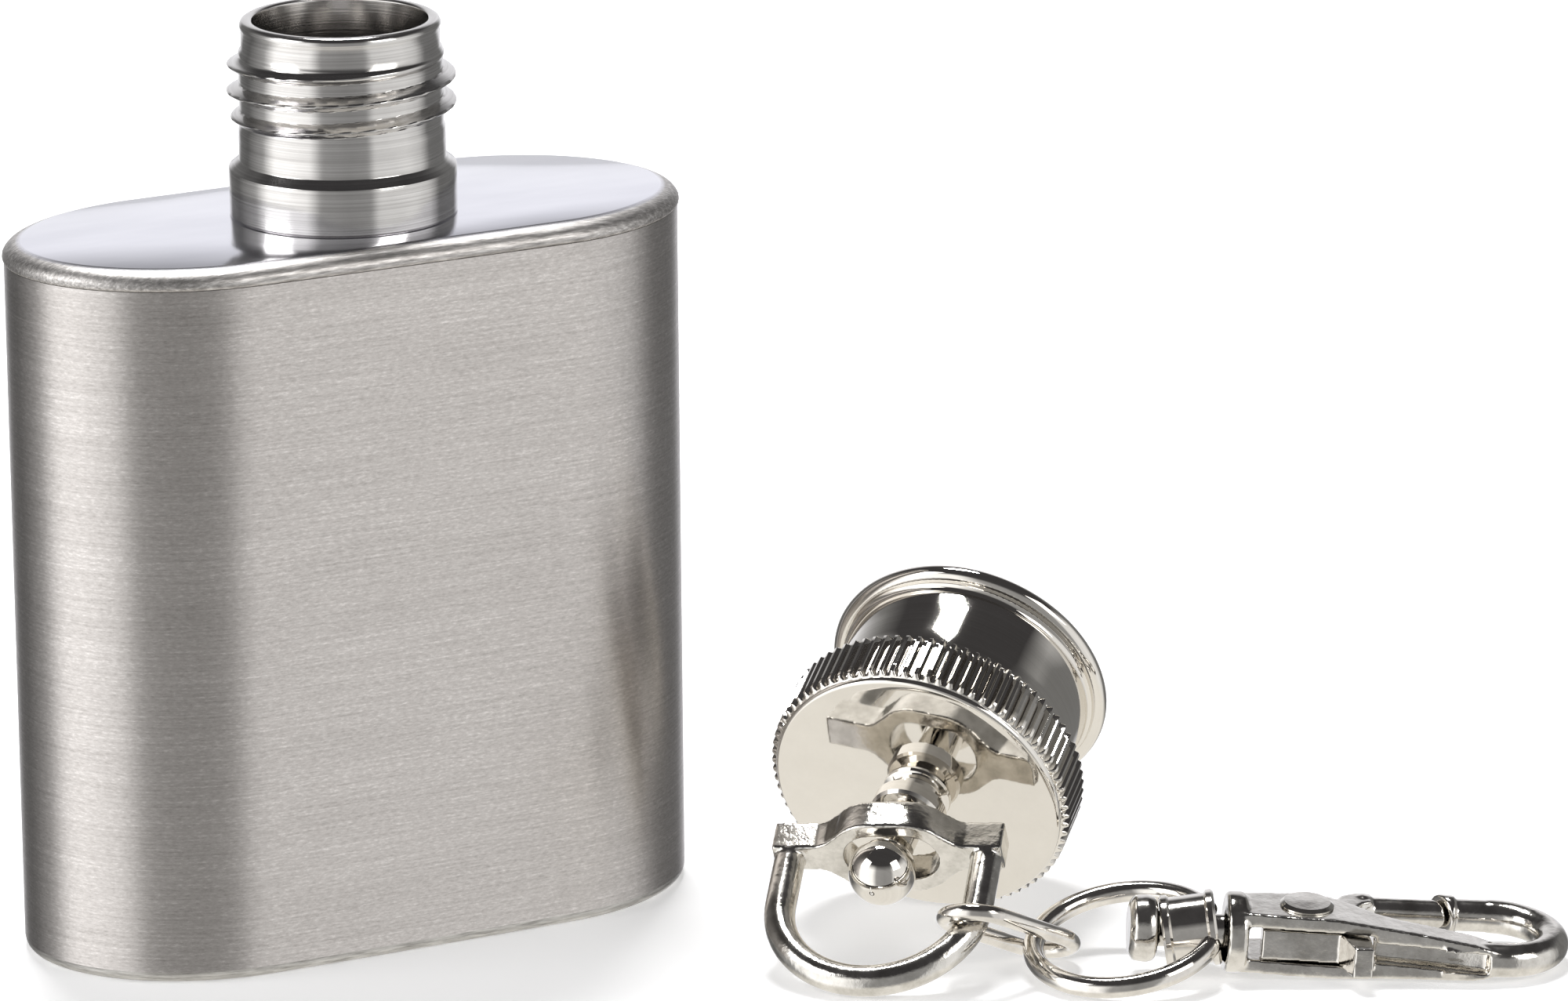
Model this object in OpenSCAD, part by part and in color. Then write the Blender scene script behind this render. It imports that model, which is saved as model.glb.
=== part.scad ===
// Pocket hip flask for a key ring: welded steel body with a threaded spout,
// and a screw cap on a swivel ring, chain link and trigger snap hook.
// Millimetres. The origin is the middle of the flask's base, X runs along
// the wide side, Y through the flask and Z up. The cap lies open beside
// the flask with its swivel ring, link and hook laid out from it.

/* [Flask body] */
// Width of the body across its rounded ends
body_w = 43; // [40:0.5:50]
// Thickness of the body, front face to back face
body_d = 19.86; // [18:0.1:24]
// Height of the polished top plate above the base
body_h = 44; // [40:0.5:60]
// Sheet thickness of the side wall
wall = 0.6; // [0.5:0.1:1]
// How far the broad faces bow outwards
face_bow = 0.34; // [0.1:0.02:0.8]
// Length of the rounded part at each end of the body
end_len = 11.4; // [9:0.1:12]
// Height of the rounded edge of the base
base_edge = 0.75; // [0.5:0.05:1.2]
// Height of the ground rim around the top plate
rim_h = 1.2; // [0.8:0.1:1.6]

/* [Spout] */
// Inner diameter of the spout
spout_bore = 10.56; // [9:0.02:11]
// Outer diameter of the plain tube above and below the thread
spout_d = 12.3; // [12:0.1:12.6]
// Crest diameter of the thread
thread_d = 14; // [13.4:0.1:14]
// Spacing of the thread crests
thread_pitch = 1.65; // [1.4:0.05:1.8]
// Diameter of the collar that is welded to the top plate
collar_d = 13.8; // [13.2:0.1:14]
// Height of the collar
collar_h = 2.9; // [2:0.1:3.4]
// Height of the whole spout above the top plate
spout_h = 11.9; // [11.5:0.1:13]

/* [Cap] */
// Diameter over the grip serrations
grip_d = 18.9; // [18.4:0.1:20]
// Number of serrations around the grip
grip_teeth = 80; // [60:2:96]
// Depth of each serration
grip_depth = 0.42; // [0.2:0.02:0.5]
// Length of the grip along the cap
grip_len = 3.95; // [3:0.05:5]
// Overall length of the cap, top disc to lip
cap_len = 11.6; // [10.5:0.1:13]
// Outer diameter of the plain skirt
skirt_d = 15.4; // [15.4:0.1:16]
// Outer diameter of the rolled lip
lip_d = 17.5; // [17:0.1:18]
// Bore of the skirt, over the thread roots
cap_bore = 14.3; // [14.2:0.05:14.5]

/* [Cap swivel] */
// Diameter of the ball on the end of the swivel post
ball_d = 4.1; // [3.8:0.1:4.3]
// Distance from the top disc to the middle of the ball
ball_h = 7.1; // [6.9:0.1:8]
// Diameter of the stepped foot of the post
post_foot_d = 4.6; // [4:0.1:5]
// Diameter of the neck that runs through the ring's slot
post_neck_d = 2.5; // [2:0.1:2.6]

/* [Swivel ring] */
// Half width of the D between the middles of its legs
d_half = 6.05; // [5.9:0.05:6.5]
// Length of the straight legs
d_leg = 4.8; // [4:0.1:5]
// Thickness of the D's bar
d_wire = 1.92; // [1.6:0.02:2]
// Thickness of the slotted hub
hub_t = 2.1; // [1.8:0.1:2.2]

/* [Chain link] */
// Length of the link between the middles of its end bends
link_len = 9.1; // [9:0.05:9.3]
// Width of the link between the middles of its sides
link_w = 3.9; // [3.8:0.05:4.1]
// Wire thickness of the link
link_wire = 1.04; // [0.9:0.02:1.1]

/* [Snap hook] */
// Radius of the hook's ring, to the middle of its wire
ring_r = 5.5; // [5.3:0.05:5.6]
// Wire thickness of the ring
ring_wire = 1.28; // [1.1:0.02:1.3]
// Outer diameter of the ring's bearing sleeve
sleeve_d = 4.6; // [4.4:0.1:4.8]
// Length of the bearing sleeve
sleeve_len = 3.3; // [2.4:0.1:3.4]
// Diameter of the hook's post inside the sleeve
hook_post_d = 2.1; // [1.8:0.1:2.2]
// Diameter of the flange at the foot of the hook
flange_d = 4.9; // [4.6:0.1:5]
// Thickness of the hook's body at the rivet
hook_t = 3.8; // [3.6:0.1:4]
// Thickness of the lever
lever_t = 1.9; // [1.6:0.1:1.95]
// Bar diameter of the hook's loop
loop_bar = 2.06; // [1.8:0.02:2.2]

/* [Hidden] */
$fn = 64;

steel = "#b9b6b1";
ground = "#a9a6a2";
mirror_steel = "#dfdfe6";
plate = "#cfccc6";
dark_plate = "#b4b0a8";

// where each loose piece lies
cap_pos = [28.07, -20.19, 8.4];     // middle of the cap's top disc
cap_tilt = 114.42;                   // swivel axis, down from vertical
cap_az = -137.78;                    // and its heading
ring_rot = [-150.08, -3.64, -40.14]; // swivel ring
hub_s = 4.75;                        // its hub along the swivel axis
d_off = -0.2;                        // the D is a little off the hub's middle
link_pos = [28.447, -30.861, 2.74];
link_rot = [156.65, 25.31, 7.46];
hook_pos = [40.22, -36.89, 2.53];    // middle of the hook's flange
hook_rot = [4, 3.94, -24.92];
sleeve_x = -2.35;                    // middle of the sleeve on the hook's axis
sleeve_rot = [12.19, -7.97, -29.08];
ring_off = 4.0;                      // ring's middle from the sleeve's middle
rivet_x = 4.52;                      // lever rivet on the hook

function heading(t, a) = [sin(t) * cos(a), sin(t) * sin(a), cos(t)];
hub_pos = cap_pos + hub_s * heading(cap_tilt, cap_az);
function rz(v, a) = [v[0] * cos(a) - v[1] * sin(a), v[0] * sin(a) + v[1] * cos(a), v[2]];
function ry(v, a) = [v[0] * cos(a) + v[2] * sin(a), v[1], -v[0] * sin(a) + v[2] * cos(a)];
function rx(v, a) = [v[0], v[1] * cos(a) - v[2] * sin(a), v[1] * sin(a) + v[2] * cos(a)];
function turn(v, r) = rz(ry(rx(v, r[0]), r[1]), r[2]);
sleeve_pos = hook_pos + turn([sleeve_x, 0, 0], hook_rot);

module at_cap() { translate(cap_pos) rotate([0, cap_tilt, cap_az]) children(); }
module at_ring() { translate(hub_pos) rotate(ring_rot) children(); }
module at_link() { translate(link_pos) rotate(link_rot) children(); }
module at_sleeve() { translate(sleeve_pos) rotate(sleeve_rot) children(); }
module at_hook() { translate(hook_pos) rotate(hook_rot) children(); }

// ---- flask outline: elliptical ends joined by slightly bowed faces ----
// a half width, b half thickness, r length of the rounded end, w bow
NQ = 20;
function edge_y(x, y, a, b, w) = y + sign(y) * w * max(0, 1 - (x / a) * (x / a)) * abs(y) / (b - w);
function outline(a, b, r, w) = let (
    e = [for (i = [0:NQ]) let (t = -90 + 180 * i / NQ) [a - r + r * cos(t), (b - w) * sin(t)]],
    m = 6,
    top = [for (i = [1:m - 1]) [(a - r) * (1 - 2 * i / m), b - w]],
    half = concat(e, top),
    full = concat(half, [for (p = half) [-p[0], -p[1]]])
  ) [for (p = full) [p[0], edge_y(p[0], p[1], a, b, w)]];
function body_line(inset) = outline(body_w / 2 - inset, body_d / 2 - inset, end_len - inset, face_bow);
NP = len(body_line(0));

// solid from a stack of outlines: rings is a list of [inset, z]
module stack(rings) {
    n = len(rings);
    pts = [for (k = [0:n - 1]) for (p = body_line(rings[k][0])) [p[0], p[1], rings[k][1]]];
    side = [for (k = [0:n - 2]) for (i = [0:NP - 1]) let (j = (i + 1) % NP)
        each [[k * NP + i, (k + 1) * NP + i, (k + 1) * NP + j], [k * NP + i, (k + 1) * NP + j, k * NP + j]]];
    polyhedron(points = pts, faces = concat(side,
        [[for (i = [0:NP - 1]) i]],
        [[for (i = [NP - 1:-1:0]) (n - 1) * NP + i]]), convexity = 4);
}

wall_lo = base_edge;
wall_hi = body_h - rim_h;

module body_wall() color(steel)
    translate([0, 0, wall_lo]) linear_extrude(height = wall_hi - wall_lo, convexity = 4) difference() {
        polygon(body_line(0));
        polygon(body_line(wall));
    }

// ground rim: proud of the wall by a hair, rolling over to the flat top
module top_plate() color(mirror_steel)
    difference() {
        stack([[0.06, wall_hi], [-0.06, wall_hi + 0.1], [-0.1, wall_hi + 0.3], [0.02, wall_hi + 0.62],
               [0.3, wall_hi + 0.9], [0.7, wall_hi + 1.08], [1.1, wall_hi + rim_h]]);
        translate([0, 0, wall_hi - 1]) linear_extrude(height = 1 + rim_h - 0.8) polygon(body_line(1.3));
        translate([0, 0, wall_hi - 1]) cylinder(d = spout_bore, h = rim_h + 2);
    }

module base_plate() color(ground)
    stack([[0.85, 0], [0.42, 0.08], [0.16, 0.28], [0.04, 0.52], [0, wall_lo]]);

module spout() color(steel)
    translate([0, 0, body_h]) rotate_extrude(convexity = 6) {
        ri = spout_bore / 2; ro = spout_d / 2; rc = collar_d / 2; rt = thread_d / 2;
        z1 = collar_h; z2 = z1 + 0.7; z3 = z2 + 2.0; p = thread_pitch; z4 = z3 + 2.6 * p;
        polygon(concat(
            [[ri, 0], [rc - 0.12, 0], [rc, 0.1], [rc, z1], [ro + 0.05, z2], [ro + 0.05, z3]],
            [for (k = [0:2]) each [[ro, z3 + (k * 0.82 + 0.02) * p], [rt, z3 + (k * 0.82 + 0.36) * p], [rt, z3 + (k * 0.82 + 0.48) * p], [ro + 0.02, z3 + (k * 0.82 + 0.8) * p]]],
            [[ro, z4 + 0.3], [ro - 0.2, spout_h - 1.6], [ro - 0.16, spout_h - 0.45], [ro - 0.3, spout_h - 0.1], [ro - 0.5, spout_h], [ri + 0.12, spout_h], [ri, spout_h - 0.15]]));
    }

// ---- cap, in its own frame: top disc at z = 0 facing +Z, lip at -cap_len ----
cap_roof = 1.2;
module cap_shell() at_cap() color(plate) difference() {
    union() {
        translate([0, 0, -grip_len + 0.35]) linear_extrude(height = grip_len - 0.35 - 0.5, convexity = 4)
            polygon([for (i = [0:2 * grip_teeth - 1]) let (a = 180 * i / grip_teeth, r = grip_d / 2 - (i % 2) * grip_depth) [r * cos(a), r * sin(a)]]);
        rotate_extrude(convexity = 4) polygon([
            [0, 0], [grip_d / 2 - 0.62, 0], [grip_d / 2 - 0.45, -0.12], [grip_d / 2 - 0.45, -grip_len + 0.1], [grip_d / 2 - 0.7, -grip_len - 0.05],
            [skirt_d / 2 + 0.25, -grip_len - 0.1], [skirt_d / 2, -grip_len - 0.5], [skirt_d / 2, -cap_len + 1.5], [skirt_d / 2 + 0.35, -cap_len + 1.2], [0, -cap_len + 1.2]]);
        rotate_extrude() translate([lip_d / 2 - 0.62, -cap_len + 0.62]) circle(r = 0.62, $fn = 32);
        translate([0, 0, -cap_len + 0.2]) cylinder(r = lip_d / 2 - 0.62, h = 1.1);
    }
    translate([0, 0, -cap_len - 1]) cylinder(d = cap_bore, h = cap_len + 1 - cap_roof);
    translate([0, 0, -cap_roof - 1]) cylinder(d = post_neck_d + 0.1, h = 3);
}
// inner thread, cut as rings at the spout's pitch
module cap_thread() at_cap() color(plate)
    for (k = [0:2]) translate([0, 0, -cap_len + 3.2 + k * thread_pitch]) rotate_extrude()
        polygon([[cap_bore / 2 + 0.01, -0.45], [cap_bore / 2 - 0.5, -0.1], [cap_bore / 2 - 0.5, 0.1], [cap_bore / 2 + 0.01, 0.45]]);

module cap_gasket() at_cap() color("#d8d4c8")
    translate([0, 0, -cap_roof - 1.2]) rotate_extrude() polygon([[3.3, 0], [cap_bore / 2 - 0.12, 0], [cap_bore / 2 - 0.12, 1.2], [3.3, 1.2]]);

module swivel_post() at_cap() color(plate) rotate_extrude(convexity = 4) {
    rn = post_neck_d / 2; rf = post_foot_d / 2; rb = ball_d / 2;
    zb = ball_h - sqrt(rb * rb - rn * rn);
    difference() {
        union() {
            polygon([[0, -2.35], [1.5, -2.35], [2.0, -2.15], [2.0, -1.64], [rn, -1.64], [rn, 0], [rf - 0.15, 0], [rf - 0.2, 0.2], [rf - 0.55, 0.4], [rf - 0.6, 1.0], [rf - 0.15, 1.15],
                     [rf, 1.3], [rf, 2.15], [rf - 0.15, 2.35], [rf - 0.55, 2.5], [rn, 2.85], [rn, zb + 0.05], [0, zb + 0.05]]);
            translate([0, ball_h]) circle(r = rb, $fn = 96);
        }
        translate([-10, -20]) square([10, 40]);
    }
}
module post_washer() at_cap() color(dark_plate)
    translate([0, 0, -1.64]) difference() { cylinder(r = 2.9, h = 0.44); translate([0, 0, -1]) cylinder(d = post_neck_d + 0.1, h = 3); }

// ---- swivel ring: D in the X-Y plane, hub across X, bow towards +Y ----
module swivel_ring() at_ring() color(plate) {
    w = d_wire / 2;
    difference() {
        union() {
            // slotted boss and the bar ends that carry the legs
            translate([0, hub_t / 2, 0]) rotate([90, 0, 0]) linear_extrude(height = hub_t, convexity = 4) union() {
                translate([-1.0, 0]) circle(r = 2.9);
                translate([1.0, 0]) circle(r = 2.9);
                square([2, 5.8], center = true);
                polygon([[-4.6, -w], [-4.0, -1.2], [-3.3, -1.8], [-3.3, 1.8], [-4.0, 1.2], [-4.6, w]]);
                polygon([[4.6, -w], [4.6, w], [4.0, 1.2], [3.3, 1.8], [3.3, -1.8], [4.0, -1.2]]);
                translate([d_off, 0]) square([2 * (d_half + w + 0.04), 2 * w + 0.08], center = true);
            }
            for (s = [-1, 1]) translate([d_off + s * d_half, 0, 0]) {
                translate([0, 0.4, 0]) rotate([-90, 0, 0]) cylinder(r = w, h = d_leg - 0.4);
            }
            translate([d_off, d_leg, 0]) rotate_extrude(angle = 180) translate([d_half, 0]) circle(r = w, $fn = 32);
        }
        // long slot for the post
        rotate([90, 0, 0]) translate([0, 0, -5]) linear_extrude(height = 10) union() {
            translate([-1.05, 0]) circle(r = 1.87);
            translate([1.05, 0]) circle(r = 1.87);
            square([2.1, 3.74], center = true);
        }
    }
}

// ---- chain link: long axis X, in the X-Y plane ----
module chain_link() at_link() color(plate) {
    s = (link_len - link_w) / 2; w = link_wire / 2; r = link_w / 2;
    for (m = [0, 180]) rotate([0, 0, m]) {
        translate([s, 0, 0]) rotate([0, 0, -90]) rotate_extrude(angle = 180) translate([r, 0]) circle(r = w, $fn = 32);
        translate([-s, r, 0]) rotate([0, 90, 0]) cylinder(r = w, h = 2 * s, $fn = 32);
    }
}

// ---- ring with its bearing sleeve, sleeve axis X, ring towards -X ----
module hook_ring() at_sleeve() color(plate) {
    a0 = asin(1.95 / ring_r); rs = sleeve_d / 2; hl = sleeve_len / 2; bore = 1.56;
    translate([-ring_off, 0, 0]) rotate([0, 0, a0]) rotate_extrude(angle = 360 - 2 * a0) translate([ring_r, 0]) circle(r = ring_wire / 2, $fn = 32);
    rotate([0, 90, 0]) rotate_extrude() polygon([[bore, -hl], [rs - 0.15, -hl], [rs, -hl + 0.15], [rs, -hl + 0.45], [rs - 0.18, -hl + 0.6],
        [rs - 0.18, hl - 0.6], [rs, hl - 0.45], [rs, hl - 0.15], [rs - 0.15, hl], [bore, hl]]);
}

// ---- snap hook: axis X, gate side +Y, lies in the X-Y plane ----
loop_c = [16.1, 0.7];
loop_r = 3.45;
// plan of the body and its long bar
plan = [[0.5, -1.75], [4, -2.15], [6.4, -2.3], [8.5, -2.55], [11, -2.9], [13.4, -3.35], [15.0, -3.62], [16.1, loop_c[1] - loop_r - 0.72],
        [16.1, loop_c[1] - loop_r + 0.72], [14.9, -1.75], [12.7, -1.2], [10.1, -0.65], [8.8, -0.15], [7.6, 0.75], [6.7, 1.35], [5.6, 1.85], [4.4, 2.05], [2, 1.9], [0.5, 1.7]];
module hook_body() at_hook() color(plate) {
    th = hook_t / 2; lb = loop_bar / 2; yl = loop_c[1] + loop_r;
    difference() {
        union() {
            // body, thinner towards the loop
            intersection() {
                translate([0, 0, -3]) linear_extrude(height = 6, convexity = 4) polygon(plan);
                rotate([90, 0, 0]) translate([0, 0, -8]) linear_extrude(height = 16, convexity = 4)
                    polygon([[0, -th], [6, -th], [11.5, -1.42], [14.5, -1.12], [16.2, -0.68], [16.2, 0.68], [14.5, 1.12], [11.5, 1.42], [6, th], [0, th]]);
            }
            // flange, post and peened head
            rotate([0, 90, 0]) rotate_extrude() polygon([[0, -0.3], [flange_d / 2 - 0.15, -0.3], [flange_d / 2, -0.15], [flange_d / 2, 0.75], [flange_d / 2 - 0.2, 0.95], [0, 0.95]]);
            rotate([0, 90, 0]) rotate_extrude() polygon([[0, -6.1], [1.5, -6.1], [1.95, -5.8], [2.05, -5.0], [1.95, -4.6], [1.7, -4.42], [hook_post_d / 2, -4.42], [hook_post_d / 2, -0.2], [0, -0.2]]);
            // loop, tip and collar
            translate([12.6, loop_c[1] - loop_r, 0]) rotate([0, 90, 0]) cylinder(r = lb, h = 3.5, $fn = 32);
            translate([loop_c[0], loop_c[1], 0]) rotate([0, 0, -90]) rotate_extrude(angle = 180) translate([loop_r, 0]) circle(r = lb, $fn = 32);
            difference() {
                union() {
                    translate([13.0, yl, 0]) rotate([0, 90, 0]) cylinder(r = lb - 0.05, h = 3.1, $fn = 32);
                    translate([12.6, yl, 0]) rotate([0, 90, 0]) cylinder(r = lb + 0.17, h = 1.4, $fn = 32);
                }
                translate([rivet_x, 0, 0]) rotate([0, 0, 25.84]) translate([9.62 - 6, -3, -3]) cube(6);
            }
        }
        // slot for the lever, open to both sides, and the groove along the bar
        translate([1.0, -6, -lever_t / 2 - 0.1]) cube([7.5, 12, lever_t + 0.2]);
        translate([0, 0, -0.62]) linear_extrude(height = 1.24) polygon([[8.4, -6], [8.4, -1.5], [11, -1.9], [13.4, -2.35], [15.2, -2.9], [15.6, -6]]);
        translate([rivet_x, 0, -4]) cylinder(d = 1.5, h = 8, $fn = 32);
    }
}
module hook_lever() at_hook() color(plate) {
    lt = lever_t / 2; yl = loop_c[1] + loop_r;
    difference() {
        union() {
            translate([0, 0, -lt]) linear_extrude(height = lever_t, convexity = 4) {
                polygon([[1.8, -1.85], [6.4, -2.1], [7.1, -4.3], [8.25, -4.3], [8.2, -1.75], [7.2, -0.9], [6.4, 0.4], [7.2, 1.5], [8.3, 3.1], [8.9, 3.4], [8.9, 4.7], [8.1, 4.75], [7.1, 4.2], [6.2, 2.6], [5.5, 1.1], [4.5, 1.0], [3.5, 0.5], [2.9, -0.5], [1.8, -0.7]]);
                translate([rivet_x, 0]) circle(r = 1.5);
            }
            translate([8.45, yl, 0]) rotate([0, 90, 0]) rotate_extrude() polygon([[0, -1], [0.55, -0.92], [0.95, -0.5], [1.08, 0], [0.95, 0.5], [0.85, 0.6], [0.85, 6], [0, 6]]);
        }
        translate([rivet_x, 0, 0]) rotate([0, 0, 25.84]) translate([9.46, -3, -3]) cube(6);
        translate([rivet_x, 0, -4]) cylinder(d = 1.56, h = 8, $fn = 32);
        // pocket for the spring around the rivet
        translate([rivet_x, 0, 0.1]) cylinder(r = 1.3, h = 2, $fn = 48);
        translate([2.1, -0.95, 0.1]) cube([2.4, 0.5, 2]);
    }
}
module lever_rivet() at_hook() color(plate) translate([rivet_x, 0, 0]) {
    th = hook_t / 2;
    rotate_extrude() polygon([[0, -th - 0.18], [1.3, -th - 0.18], [1.5, -th - 0.02], [0.75, -th - 0.01], [0.75, th + 0.01], [1.62, th + 0.02], [1.62, th + 0.12], [1.4, th + 0.3], [0, th + 0.36]]);
}
// two-turn torsion spring in the lever's pocket
module lever_spring() at_hook() color(dark_plate) translate([rivet_x, 0, 0]) {
    for (k = [0:1]) translate([0, 0, 0.32 + 0.36 * k]) rotate_extrude() translate([1.06, 0]) circle(r = 0.16, $fn = 16);
    translate([-2.2, -0.7, 0.5]) rotate([0, 90, 0]) cylinder(r = 0.15, h = 1.6, $fn = 16);
}

body_wall();
top_plate();
base_plate();
spout();
union() { cap_shell(); cap_thread(); }
cap_gasket();
swivel_post();
post_washer();
swivel_ring();
chain_link();
hook_ring();
hook_body();
hook_lever();
lever_rivet();
lever_spring();
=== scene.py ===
import bpy
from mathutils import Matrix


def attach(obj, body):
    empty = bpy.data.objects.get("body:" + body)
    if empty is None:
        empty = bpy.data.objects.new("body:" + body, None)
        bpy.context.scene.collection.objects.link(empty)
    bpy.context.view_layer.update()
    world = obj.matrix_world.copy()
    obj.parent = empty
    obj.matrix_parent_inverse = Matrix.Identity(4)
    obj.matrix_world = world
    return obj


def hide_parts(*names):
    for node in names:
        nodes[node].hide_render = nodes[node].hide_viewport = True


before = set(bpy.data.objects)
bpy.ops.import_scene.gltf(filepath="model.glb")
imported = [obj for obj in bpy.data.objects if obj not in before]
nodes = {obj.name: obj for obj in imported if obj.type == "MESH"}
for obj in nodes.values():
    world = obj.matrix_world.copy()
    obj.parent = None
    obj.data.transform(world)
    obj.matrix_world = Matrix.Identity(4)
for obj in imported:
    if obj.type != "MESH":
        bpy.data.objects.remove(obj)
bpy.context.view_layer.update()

import bpy, bmesh, math
from math import sin, cos, pi, radians
from mathutils import Matrix, Vector, Euler

scene = bpy.context.scene
MM = 0.001


# ---------------------------------------------------------------- helpers
def new_obj(name, verts, faces, smooth=True):
    me = bpy.data.meshes.new(name)
    me.from_pydata(verts, [], faces)
    me.update()
    bm = bmesh.new(); bm.from_mesh(me)
    bmesh.ops.remove_doubles(bm, verts=bm.verts, dist=1e-7)
    bmesh.ops.recalc_face_normals(bm, faces=bm.faces)
    bm.to_mesh(me); bm.free()
    ob = bpy.data.objects.new(name, me)
    scene.collection.objects.link(ob)
    for p in me.polygons:
        p.use_smooth = smooth
    return ob


def revolve(name, rows, seg, place):
    """A closed surface of rows round Z; each row is a function or (r, z) at an angle. place maps local mm to metres."""
    vs, fs = [], []
    for row in rows:
        for i in range(seg):
            t = 2 * pi * i / seg
            r, z = row(t) if callable(row) else row
            vs.append(place(Vector((r * cos(t), r * sin(t), z))))
    n = len(rows)
    for k in range(n - 1):
        for i in range(seg):
            j = (i + 1) % seg
            fs.append((k * seg + i, k * seg + j, (k + 1) * seg + j, (k + 1) * seg + i))
    return vs, fs


def to_m(v):
    return (v[0] * MM, v[1] * MM, v[2] * MM)


def sharp_by_angle(ob, deg):
    me = ob.data
    for p in me.polygons:
        p.use_smooth = True
    me.set_sharp_from_angle(angle=radians(deg))


# ---------------------------------------------------------------- materials
def mat(name):
    m = bpy.data.materials.new(name)
    m.use_nodes = True
    nt = m.node_tree
    return m, nt, nt.nodes["Principled BSDF"]


def N(nt, kind, **kw):
    n = nt.nodes.new(kind)
    for k, v in kw.items():
        setattr(n, k, v)
    return n


def link(nt, a, b):
    nt.links.new(a, b)


def coords(nt, scale):
    tc = N(nt, "ShaderNodeTexCoord")
    mp = N(nt, "ShaderNodeMapping")
    mp.inputs["Scale"].default_value = scale
    link(nt, tc.outputs["Object"], mp.inputs["Vector"])
    return mp.outputs["Vector"]


def noise(nt, vec, scale, detail=3.0, rough=0.55):
    n = N(nt, "ShaderNodeTexNoise")
    n.inputs["Scale"].default_value = scale
    n.inputs["Detail"].default_value = detail
    n.inputs["Roughness"].default_value = rough
    link(nt, vec, n.inputs["Vector"])
    return n.outputs["Fac"]


def ramp(nt, fac, stops):
    r = N(nt, "ShaderNodeValToRGB")
    el = r.color_ramp.elements
    el[0].position, el[0].color = stops[0][0], stops[0][1]
    el[1].position, el[1].color = stops[-1][0], stops[-1][1]
    for p, c in stops[1:-1]:
        e = el.new(p); e.color = c
    link(nt, fac, r.inputs["Fac"])
    return r.outputs["Color"]


def g(v, a=1.0):
    return (v[0], v[1], v[2], a)


def bump(nt, height, strength, dist, normal=None):
    b = N(nt, "ShaderNodeBump")
    b.inputs["Strength"].default_value = strength
    b.inputs["Distance"].default_value = dist
    link(nt, height, b.inputs["Height"])
    if normal is not None:
        link(nt, normal, b.inputs["Normal"])
    return b.outputs["Normal"]


def maprange(nt, v, a, b, c, d):
    m = N(nt, "ShaderNodeMapRange")
    for i, x in enumerate((a, b, c, d)):
        m.inputs[i + 1].default_value = x
    link(nt, v, m.inputs[0])
    return m.outputs[0]


# brushed side wall: long level brush lines with a sparkle of short bright and dark flecks
def m_brushed():
    m, nt, b = mat("brushed_wall")
    lines = noise(nt, coords(nt, (110, 110, 7000)), 1.0, 3.0, 0.6)
    flecks = noise(nt, coords(nt, (2600, 2600, 8200)), 1.0, 4.0, 0.75)
    band = noise(nt, coords(nt, (30, 30, 300)), 1.0, 2.0, 0.5)
    mx = N(nt, "ShaderNodeMath", operation="MULTIPLY_ADD")
    link(nt, lines, mx.inputs[0]); mx.inputs[1].default_value = 0.55; link(nt, flecks, mx.inputs[2])
    mx2 = N(nt, "ShaderNodeMath", operation="MULTIPLY_ADD")
    link(nt, band, mx2.inputs[0]); mx2.inputs[1].default_value = 0.18
    link(nt, mx.outputs[0], mx2.inputs[2])
    col = ramp(nt, maprange(nt, mx2.outputs[0], 0.55, 1.18, 0, 1),
               [(0.0, g((0.36, 0.338, 0.322))), (0.42, g((0.505, 0.478, 0.460))), (0.62, g((0.56, 0.532, 0.513))), (1.0, g((0.78, 0.745, 0.725)))])
    link(nt, col, b.inputs["Base Color"])
    b.inputs["Metallic"].default_value = 1.0
    b.inputs["Roughness"].default_value = 0.34
    b.inputs["Anisotropic"].default_value = 0.7
    b.inputs["Anisotropic Rotation"].default_value = 0.25
    tg = N(nt, "ShaderNodeTangent", direction_type="RADIAL", axis="Z")
    link(nt, tg.outputs[0], b.inputs["Tangent"])
    link(nt, bump(nt, mx.outputs[0], 0.16, 0.00002), b.inputs["Normal"])
    return m


# top plate: polished flat whose colour carries a painted pale lilac reflection, ground rim with slanting scratches
def m_top():
    m, nt, b = mat("top_polish_painted_reflection")
    geo = N(nt, "ShaderNodeTexCoord")
    sep = N(nt, "ShaderNodeSeparateXYZ")
    link(nt, geo.outputs["Object"], sep.inputs[0])
    flat = maprange(nt, sep.outputs["Z"], 0.04388, 0.04398, 0, 1)
    mp = N(nt, "ShaderNodeMapping")
    mp.inputs["Rotation"].default_value = (0.0, radians(38), radians(35))
    mp.inputs["Scale"].default_value = (800, 7000, 7000)
    link(nt, geo.outputs["Object"], mp.inputs["Vector"])
    scr = noise(nt, mp.outputs[0], 1.0, 4.0, 0.65)
    ground = ramp(nt, scr, [(0.30, g((0.26, 0.25, 0.24))), (0.50, g((0.47, 0.45, 0.435))), (0.68, g((0.74, 0.72, 0.70)))])
    smear = noise(nt, coords(nt, (90, 260, 90)), 1.0, 3.0, 0.5)
    # painted reflection: the polished flat's bright pale lilac colour stands in for the sky it reflects; the smear
    # noise only varies it at random
    polish_and_painted_reflection = ramp(nt, smear, [(0.3, g((0.80, 0.80, 0.86))), (0.7, g((0.90, 0.90, 0.955)))])
    mix = N(nt, "ShaderNodeMix", data_type="RGBA")
    link(nt, flat, mix.inputs["Factor"]); link(nt, ground, mix.inputs["A"]); link(nt, polish_and_painted_reflection, mix.inputs["B"])
    link(nt, mix.outputs["Result"], b.inputs["Base Color"])
    link(nt, maprange(nt, flat, 0, 1, 0.42, 0.13), b.inputs["Roughness"])
    b.inputs["Metallic"].default_value = 1.0
    hs = N(nt, "ShaderNodeMath", operation="MULTIPLY")
    link(nt, scr, hs.inputs[0]); link(nt, maprange(nt, flat, 0, 1, 1.0, 0.015), hs.inputs[1])
    link(nt, bump(nt, hs.outputs[0], 0.35, 0.00003), b.inputs["Normal"])
    return m


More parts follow.
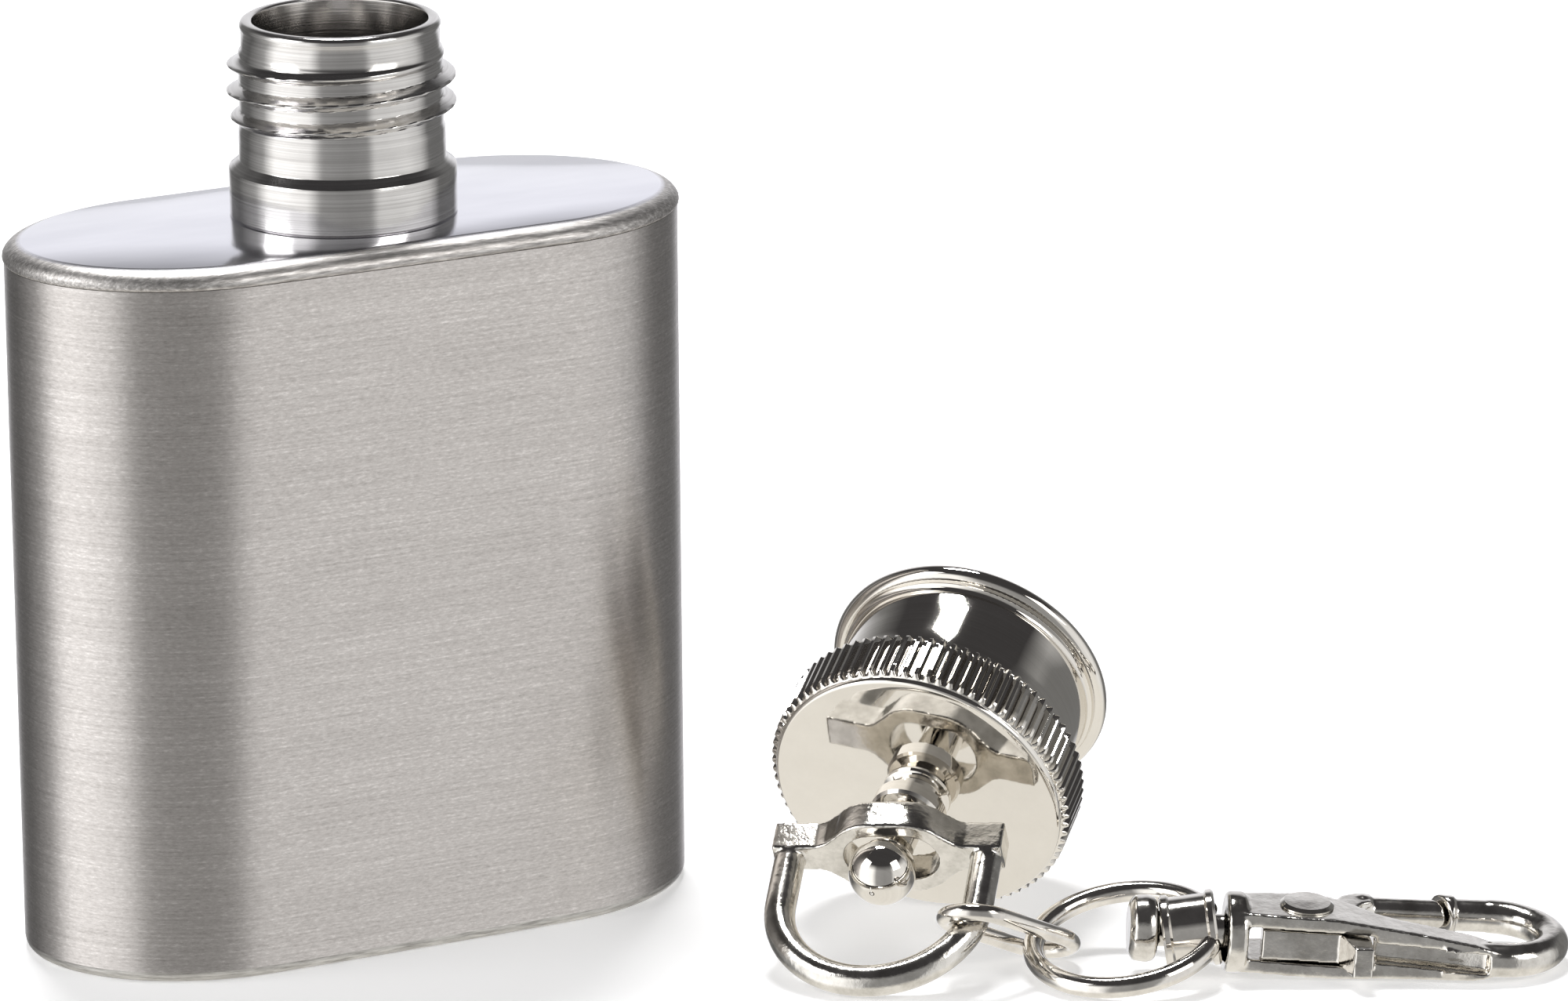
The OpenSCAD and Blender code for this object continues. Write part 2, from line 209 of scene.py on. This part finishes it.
def m_ground():
    m, nt, b = mat("ground_edge")
    scr = noise(nt, coords(nt, (500, 500, 5000)), 1.0, 4.0, 0.65)
    link(nt, ramp(nt, scr, [(0.3, g((0.25, 0.24, 0.23))), (0.65, g((0.62, 0.61, 0.59)))]), b.inputs["Base Color"])
    b.inputs["Metallic"].default_value = 1.0
    b.inputs["Roughness"].default_value = 0.4
    link(nt, bump(nt, scr, 0.4, 0.00003), b.inputs["Normal"])
    return m


# turned part: fine lines round its axis. inv turns row coordinates into the part's own
def m_turned(name, dark, light, rough, line_scale, inv=None, lines=0.5, wear=0.15):
    m, nt, b = mat(name)
    tc = N(nt, "ShaderNodeTexCoord")
    src = tc.outputs["Object"]
    if inv is not None:
        loc, eul = inv
        sub = N(nt, "ShaderNodeVectorMath", operation="SUBTRACT")
        sub.inputs[1].default_value = loc
        link(nt, src, sub.inputs[0])
        rot = N(nt, "ShaderNodeVectorRotate", rotation_type="EULER_XYZ", invert=True)
        rot.inputs["Rotation"].default_value = eul
        link(nt, sub.outputs[0], rot.inputs["Vector"])
        src = rot.outputs[0]
    mp = N(nt, "ShaderNodeMapping")
    mp.inputs["Scale"].default_value = (40, 40, line_scale)
    link(nt, src, mp.inputs["Vector"])
    ln = noise(nt, mp.outputs[0], 1.0, 3.0, 0.6)
    mp2 = N(nt, "ShaderNodeMapping")
    mp2.inputs["Scale"].default_value = (420, 420, 420)
    link(nt, src, mp2.inputs["Vector"])
    sp = noise(nt, mp2.outputs[0], 1.0, 5.0, 0.7)
    ad = N(nt, "ShaderNodeMath", operation="MULTIPLY_ADD")
    link(nt, sp, ad.inputs[0]); ad.inputs[1].default_value = wear * 2; link(nt, ln, ad.inputs[2])
    col = ramp(nt, maprange(nt, ad.outputs[0], 0.3 + wear, 0.75 + wear, 0, 1), [(0.0, g(dark)), (1.0, g(light))])
    link(nt, col, b.inputs["Base Color"])
    b.inputs["Metallic"].default_value = 1.0
    link(nt, maprange(nt, sp, 0.3, 0.7, rough * 0.8, rough * 1.3), b.inputs["Roughness"])
    link(nt, bump(nt, ln, lines, 0.00002), b.inputs["Normal"])
    return m


# nickel plated casting: faint pits and ripples, a little darker here and there
def m_cast(name, dark, light, rough, pit=0.35):
    m, nt, b = mat(name)
    a = noise(nt, coords(nt, (700, 700, 700)), 1.0, 4.0, 0.6)
    c = noise(nt, coords(nt, (2600, 2600, 2600)), 1.0, 3.0, 0.6)
    link(nt, ramp(nt, a, [(0.32, g(dark)), (0.62, g(light))]), b.inputs["Base Color"])
    b.inputs["Metallic"].default_value = 1.0
    link(nt, maprange(nt, a, 0.3, 0.7, rough * 0.8, rough * 1.35), b.inputs["Roughness"])
    ad = N(nt, "ShaderNodeMath", operation="MULTIPLY_ADD")
    link(nt, c, ad.inputs[0]); ad.inputs[1].default_value = 0.4; link(nt, a, ad.inputs[2])
    link(nt, bump(nt, ad.outputs[0], pit, 0.00009), b.inputs["Normal"])
    return m


def m_gasket():
    m, nt, b = mat("gasket_white")
    a = noise(nt, coords(nt, (600, 600, 600)), 1.0, 4.0, 0.6)
    link(nt, ramp(nt, a, [(0.3, g((0.62, 0.59, 0.52))), (0.7, g((0.78, 0.76, 0.70)))]), b.inputs["Base Color"])
    b.inputs["Roughness"].default_value = 0.7
    link(nt, bump(nt, a, 0.3, 0.00005), b.inputs["Normal"])
    return m


# ---------------------------------------------------------------- frames of the loose parts
CAP_POS = Vector((28.07, -20.19, 8.4))
CAP_EUL = Euler((0, radians(114.42), radians(-137.78)), "XYZ")
CAP_M = CAP_EUL.to_matrix()


def cap_place(v):
    return to_m(CAP_M @ v + CAP_POS)


BRUSHED = m_brushed()
TOP = m_top()
GROUND = m_ground()
TURNED = m_turned("turned_spout", (0.50, 0.485, 0.47), (0.76, 0.745, 0.725), 0.13, 9000, None, 0.22, 0.12)
CAPM = m_turned("cap_nickel", (0.72, 0.69, 0.64), (0.80, 0.77, 0.72), 0.045, 5000, (CAP_POS * MM, CAP_EUL), 0.02, 0.25)
RINGM = m_cast("ring_nickel", (0.52, 0.50, 0.46), (0.76, 0.735, 0.69), 0.12, 0.34)
WIREM = m_cast("wire_nickel", (0.64, 0.61, 0.57), (0.80, 0.77, 0.72), 0.09, 0.06)
HOOKM = m_cast("hook_nickel", (0.54, 0.515, 0.475), (0.77, 0.745, 0.70), 0.11, 0.26)
SPRING = m_cast("spring_wire", (0.16, 0.15, 0.14), (0.34, 0.33, 0.31), 0.35, 0.2)
GASK = m_gasket()


def paint(ob, m):
    ob.data.materials.clear()
    ob.data.materials.append(m)


for n, m in (("body_wall", BRUSHED), ("top_plate", TOP), ("base_plate", GROUND), ("spout", TURNED), ("cap_shell", CAPM),
             ("cap_gasket", GASK), ("swivel_post", CAPM), ("post_washer", SPRING), ("swivel_ring", RINGM), ("chain_link", WIREM),
             ("hook_ring", WIREM), ("hook_body", HOOKM), ("hook_lever", HOOKM), ("lever_rivet", HOOKM), ("lever_spring", SPRING)):
    ob = nodes[n]
    for s in ob.material_slots:
        s.material = m
    if not ob.material_slots:
        ob.data.materials.append(m)
    wn = ob.modifiers.new("soft_edges", "BEVEL")
    wn.width = 0.00006 if n in ("swivel_post", "lever_rivet") else 0.00004
    wn.segments = 2
    wn.limit_method = "ANGLE"
    wn.angle_limit = radians(40)
    if n in ("body_wall", "top_plate", "base_plate", "hook_ring", "chain_link", "swivel_ring", "hook_body", "hook_lever", "lever_spring", "cap_shell", "spout"):
        ob.modifiers.remove(wn)

# ---------------------------------------------------------------- flask shell as smooth fine meshes of the same outline
BW, BD, ENDL, BOW = 43.0, 19.86, 11.4, 0.34


def body_line(inset, nq=72, mid=14):
    a, b_, r_, w = BW / 2 - inset, BD / 2 - inset, ENDL - inset, BOW
    half = []
    for i in range(nq + 1):
        t = radians(-90 + 180 * i / nq)
        half.append((a - r_ + r_ * cos(t), (b_ - w) * sin(t)))
    for i in range(1, mid):
        half.append(((a - r_) * (1 - 2 * i / mid), b_ - w))
    pts = half + [(-x, -y) for x, y in half]
    out = []
    for x, y in pts:
        k = w * max(0.0, 1 - (x / a) ** 2) * abs(y) / (b_ - w)
        out.append((x, y + math.copysign(k, y)))
    return out


def stack(name, rings, closed=False):
    vs, fs = [], []
    for ring in rings:
        vs += [to_m(p) for p in ring]
    n = len(rings[0])
    for k in range(len(rings) - 1 + (1 if closed else 0)):
        k2 = (k + 1) % len(rings)
        for i in range(n):
            j = (i + 1) % n
            fs.append((k * n + i, k * n + j, k2 * n + j, k2 * n + i))
    if not closed:
        fs.append(tuple(range(n)))
        fs.append(tuple(range((len(rings) - 1) * n, len(rings) * n)))
    return new_obj(name, vs, fs)


def lvl(inset, z):
    return [(x, y, z) for x, y in body_line(inset)]


def hole(z, r_=5.28):
    return [(r_ * cos(math.atan2(y, x)), r_ * sin(math.atan2(y, x)), z) for x, y in body_line(1.1)]


WL, WH = 0.75, 42.8
shell = stack("flask_wall", [lvl(0, WL), lvl(0, 14), lvl(0, 28), lvl(0, WH), lvl(0.6, WH), lvl(0.6, WL)], closed=True)
shell.data.set_sharp_from_angle(angle=radians(40))
paint(shell, BRUSHED)
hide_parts("body_wall"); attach(shell, "flask")
plate = stack("flask_top", [lvl(0.06, WH), lvl(-0.02, WH + 0.04), lvl(-0.07, WH + 0.12), lvl(-0.1, WH + 0.28), lvl(-0.07, WH + 0.46), lvl(0.02, WH + 0.62), lvl(0.15, WH + 0.78),
                            lvl(0.32, WH + 0.92), lvl(0.55, WH + 1.04), lvl(0.8, WH + 1.12), lvl(1.02, WH + 1.175), lvl(1.1, WH + 1.2), hole(WH + 1.2), hole(43.2), lvl(1.3, 43.2), lvl(1.3, WH)], closed=True)
plate.data.set_sharp_from_angle(angle=radians(35))
paint(plate, TOP)
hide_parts("top_plate"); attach(plate, "flask")
foot = stack("flask_base", [lvl(0.85, 0), lvl(0.6, 0.03), lvl(0.42, 0.09), lvl(0.27, 0.18), lvl(0.16, 0.29), lvl(0.08, 0.42), lvl(0.04, 0.55), lvl(0.0, WL)])
foot.data.set_sharp_from_angle(angle=radians(40))
paint(foot, GROUND)
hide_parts("base_plate"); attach(foot, "flask")

# ---------------------------------------------------------------- spout with a real helical thread
Z0 = 44.0
RI, RO, RC, RT, PITCH = 5.28, 6.13, 6.84, 6.88, 1.62


def thread_row(z, zs, ze, root, crest, pitch, start=0.0, inside=False):
    def row(t):
        ph = ((z - zs) / pitch - (t + start) / (2 * pi)) % 1.0
        h = max(0.0, 1.0 - abs(ph - 0.5) / 0.27)
        h = min(1.0, h * 1.12)
        f = min(1.0, max(0.0, (z - zs) / 0.7)) * min(1.0, max(0.0, (ze - z) / 0.8))
        r = root + (crest - root) * h * f
        return r, z
    return row


rows = [(RI, Z0), (RC - 0.12, Z0), (RC, Z0 + 0.12), (RC, Z0 + 1.4), (RC, Z0 + 2.85), (RC - 0.03, Z0 + 2.9),
        (RO + 0.12, Z0 + 3.34), (RO + 0.09, Z0 + 3.4), (RO + 0.09, Z0 + 4.6), (RO + 0.07, Z0 + 5.2), (RO, Z0 + 5.45)]
z = Z0 + 5.5
while z < Z0 + 9.9:
    rows.append(thread_row(z, Z0 + 5.5, Z0 + 9.9, RO, RT, PITCH, 2.2))
    z += 0.055
rows += [(RO - 0.02, Z0 + 9.95), (RO - 0.16, Z0 + 10.2), (RO - 0.17, Z0 + 11.3), (RO - 0.10, Z0 + 11.45), (RO - 0.10, Z0 + 11.6),
         (RO - 0.2, Z0 + 11.78), (RO - 0.36, Z0 + 11.88), (RO - 0.52, Z0 + 11.9), (RI + 0.12, Z0 + 11.88), (RI + 0.02, Z0 + 11.8), (RI, Z0 + 11.7),
         (RI, Z0 + 8), (RI, Z0 + 4), (RI, Z0)]
vs, fs = revolve("spout_thread", rows, 288, to_m)
spout = new_obj("spout_thread", vs, fs)
spout.data.set_sharp_from_angle(angle=radians(38))
paint(spout, TURNED)
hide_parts("spout"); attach(spout, "flask")

# ---------------------------------------------------------------- cap shell: knurled grip, skirt, rolled lip, inner thread
TEETH, DEPTH, RG = 80, 0.40, 9.44
GL, CL, RS, RB, BORE = 3.95, 11.6, 7.7, 0.6, 7.15


def knurl(z, amp, base=0.0):
    def row(t):
        ph = (t * TEETH / (2 * pi)) % 1.0
        v = abs(ph - 0.5) * 2          # 0 on the crest, 1 in the groove
        v = min(1.0, max(0.0, (v - 0.28) / 0.5))
        return RG - base - amp * DEPTH * (v * v * (3 - 2 * v)), z
    return row


rows = [(1.26, -1.2), (1.26, 0.0), (4.0, 0.0), (8.3, 0.0), (8.78, 0.0), (8.92, -0.03), (9.0, -0.12), (9.0, -0.32), (9.02, -0.36)]
for z, amp, base in ((-0.40, 0.1, 0.30), (-0.44, 0.5, 0.18), (-0.50, 0.85, 0.08), (-0.60, 1.0, 0.0), (-1.2, 1.0, 0.0), (-2.2, 1.0, 0.0),
                     (-3.3, 1.0, 0.0), (-3.78, 1.0, 0.0), (-3.88, 0.9, 0.07), (-3.95, 0.6, 0.18), (-4.0, 0.2, 0.32)):
    rows.append(knurl(z, amp, base))
rows += [(9.0, -4.04), (8.6, -4.06), (RS + 0.35, -4.08), (RS + 0.1, -4.18), (RS, -4.45), (RS, -6.5), (RS, -8.2), (RS, -10.0), (RS + 0.03, -10.25), (RS + 0.16, -10.4),
         (RS + 0.42, -10.48)]
bc, bz = 8.75 - RB, -CL + RB
for k in range(13):
    a = radians(118 - k * 20)
    rows.append((bc + RB * cos(a), bz + RB * sin(a)))
rows += [(7.45, -11.2), (7.22, -11.0), (BORE, -10.8)]
z = -10.6
while z < -5.4:
    rows.append(thread_row(z, -10.6, -5.4, BORE, BORE - 0.5, 1.62, 0.7))
    z += 0.09
rows += [(BORE, -5.3), (BORE, -1.2), (1.26, -1.2)]
vs, fs = revolve("cap_turned", rows, 640, cap_place)
cap = new_obj("cap_turned", vs, fs)
cap.data.set_sharp_from_angle(angle=radians(42))
paint(cap, CAPM)
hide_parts("cap_shell"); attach(cap, "cap")


# ---------------------------------------------------------------- cast pieces: the CAD solid with its edges rounded over
def soften(node, name, voxel, iters, m, body):
    src = nodes[node]
    me = src.data.copy()
    ob = bpy.data.objects.new(name, me)
    scene.collection.objects.link(ob)
    r = ob.modifiers.new("remesh", "REMESH")
    r.mode = "VOXEL"; r.voxel_size = voxel; r.use_smooth_shade = True
    s = ob.modifiers.new("smooth", "SMOOTH")
    s.factor = 0.5; s.iterations = iters
    bpy.context.view_layer.update()
    dg = bpy.context.evaluated_depsgraph_get()
    out = bpy.data.meshes.new_from_object(ob.evaluated_get(dg))
    ob.modifiers.clear()
    ob.data = out
    for p in out.polygons:
        p.use_smooth = True
    paint(ob, m)
    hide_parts(node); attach(ob, body)
    return ob


soften("swivel_ring", "swivel_ring_cast", 0.00009, 9, RINGM, "swivel")
soften("hook_body", "hook_body_cast", 0.000095, 12, HOOKM, "hook")
soften("hook_lever", "hook_lever_cast", 0.00009, 6, HOOKM, "lever")

for n in ("chain_link", "hook_ring"):
    sharp_by_angle(nodes[n], 30)
for n in ("swivel_post", "lever_rivet", "cap_gasket", "post_washer", "lever_spring"):
    sharp_by_angle(nodes[n], 35)

# ---------------------------------------------------------------- floor, light, camera
fl = bpy.data.meshes.new("floor")
fl.from_pydata([(-3, -3, 0), (3, -3, 0), (3, 3, 0), (-3, 3, 0)], [], [(0, 1, 2, 3)])
floor = bpy.data.objects.new("floor", fl)
scene.collection.objects.link(floor)
floor.location.z = -0.00002
fm, nt, b = mat("floor_pale")
b.inputs["Base Color"].default_value = (0.80, 0.80, 0.805, 1)
b.inputs["Roughness"].default_value = 0.8
b.inputs["Specular IOR Level"].default_value = 0.1
b.inputs["Emission Color"].default_value = (1, 1, 1, 1)
b.inputs["Emission Strength"].default_value = 0.42
fo = nt.nodes["Material Output"]
lp = N(nt, "ShaderNodeLightPath")
tr = N(nt, "ShaderNodeBsdfTransparent")
ms = N(nt, "ShaderNodeMixShader")
link(nt, lp.outputs["Is Glossy Ray"], ms.inputs[0]); link(nt, b.outputs[0], ms.inputs[1]); link(nt, tr.outputs[0], ms.inputs[2])
link(nt, ms.outputs[0], fo.inputs["Surface"])
fl.materials.append(fm)

world = bpy.data.worlds.new("studio")
scene.world = world
world.use_nodes = True
wn = world.node_tree
bg = wn.nodes["Background"]
tc = N(wn, "ShaderNodeTexCoord")
sp = N(wn, "ShaderNodeSeparateXYZ")
link(wn, tc.outputs["Generated"], sp.inputs[0])
at = N(wn, "ShaderNodeMath", operation="ARCTAN2")
link(wn, sp.outputs["Y"], at.inputs[0]); link(wn, sp.outputs["X"], at.inputs[1])
az = maprange(wn, at.outputs[0], -pi, pi, 0, 1)


def deg(d):
    return ((d + 180) % 360) / 360


def gy(v, b=0.0):
    return (v, v, v * (1 + b), 1)


stops = sorted([(deg(320), gy(1.0)), (deg(296), gy(0.92)), (deg(281), gy(0.90)), (deg(273), gy(0.36)), (deg(250), gy(0.33)), (deg(222), gy(0.40)), (deg(208), gy(1.35)),
                (deg(164), gy(1.6)), (deg(147), gy(0.45)), (deg(116), gy(0.14)), (deg(92), gy(0.2)), (deg(80), gy(0.9, 0.03)), (deg(48), gy(0.97, 0.04)), (deg(34), gy(0.2)),
                (deg(356), gy(0.20)), (deg(340), gy(0.8))])
stops = [(0.0, gy(1.6))] + stops + [(1.0, gy(1.6))]
azc = ramp(wn, az, stops)
up = maprange(wn, sp.outputs["Z"], 0.36, 0.62, 0, 1)
mx = N(wn, "ShaderNodeMix", data_type="RGBA")
link(wn, up, mx.inputs["Factor"]); link(wn, azc, mx.inputs["A"])
mx.inputs["B"].default_value = (0.055, 0.053, 0.055, 1)
dn = maprange(wn, sp.outputs["Z"], -0.45, -0.75, 0, 1)
mx2 = N(wn, "ShaderNodeMix", data_type="RGBA")
link(wn, dn, mx2.inputs["Factor"]); link(wn, mx.outputs["Result"], mx2.inputs["A"])
mx2.inputs["B"].default_value = (0.98, 0.955, 0.90, 1)
link(wn, mx2.outputs["Result"], bg.inputs["Color"])
bg.inputs["Strength"].default_value = 1.0


def area(name, loc, target, size, power, col=(1, 1, 1), size_y=None):
    d = bpy.data.lights.new(name, "AREA")
    d.energy = power; d.color = col
    d.size = size
    if size_y:
        d.shape = "RECTANGLE"; d.size_y = size_y
    o = bpy.data.objects.new(name, d)
    scene.collection.objects.link(o)
    o.location = loc
    o.rotation_euler = (Vector(target) - Vector(loc)).to_track_quat("-Z", "Y").to_euler()
    return o


area("top_softbox", (0.10, 0.22, 0.62), (0.02, 0, 0.0), 0.22, 4.2, size_y=0.12)
area("left_softbox", (-0.55, 0.05, 0.35), (0.0, 0, 0.02), 0.35, 1.2)
area("front_softbox", (0.35, -0.65, 0.45), (0.03, -0.02, 0.02), 0.4, 1.6, (1.0, 0.985, 0.96))

cam_d = bpy.data.cameras.new("camera")
cam = bpy.data.objects.new("camera", cam_d)
scene.collection.objects.link(cam)
cam_d.sensor_width = 36.0
cam_d.lens = 11450.43 / 2000 * 36.0
cam_d.clip_start = 0.01
cam_d.clip_end = 20
R = Vector((0.88356, -0.46825, -0.00750)); U = Vector((0.13457, 0.23853, 0.96177)); B = Vector((-0.44856, -0.85079, 0.27377))
Mx = Matrix.Identity(4)
for i, a in enumerate((R, U, B)):
    a.normalize()
    for k in range(3):
        Mx[k][i] = a[k]
Mx.translation = Vector((-0.221004, -0.475609, 0.174735))
cam.matrix_world = Mx
scene.camera = cam
scene.view_settings.view_transform = "Standard"
scene.view_settings.look = "None"
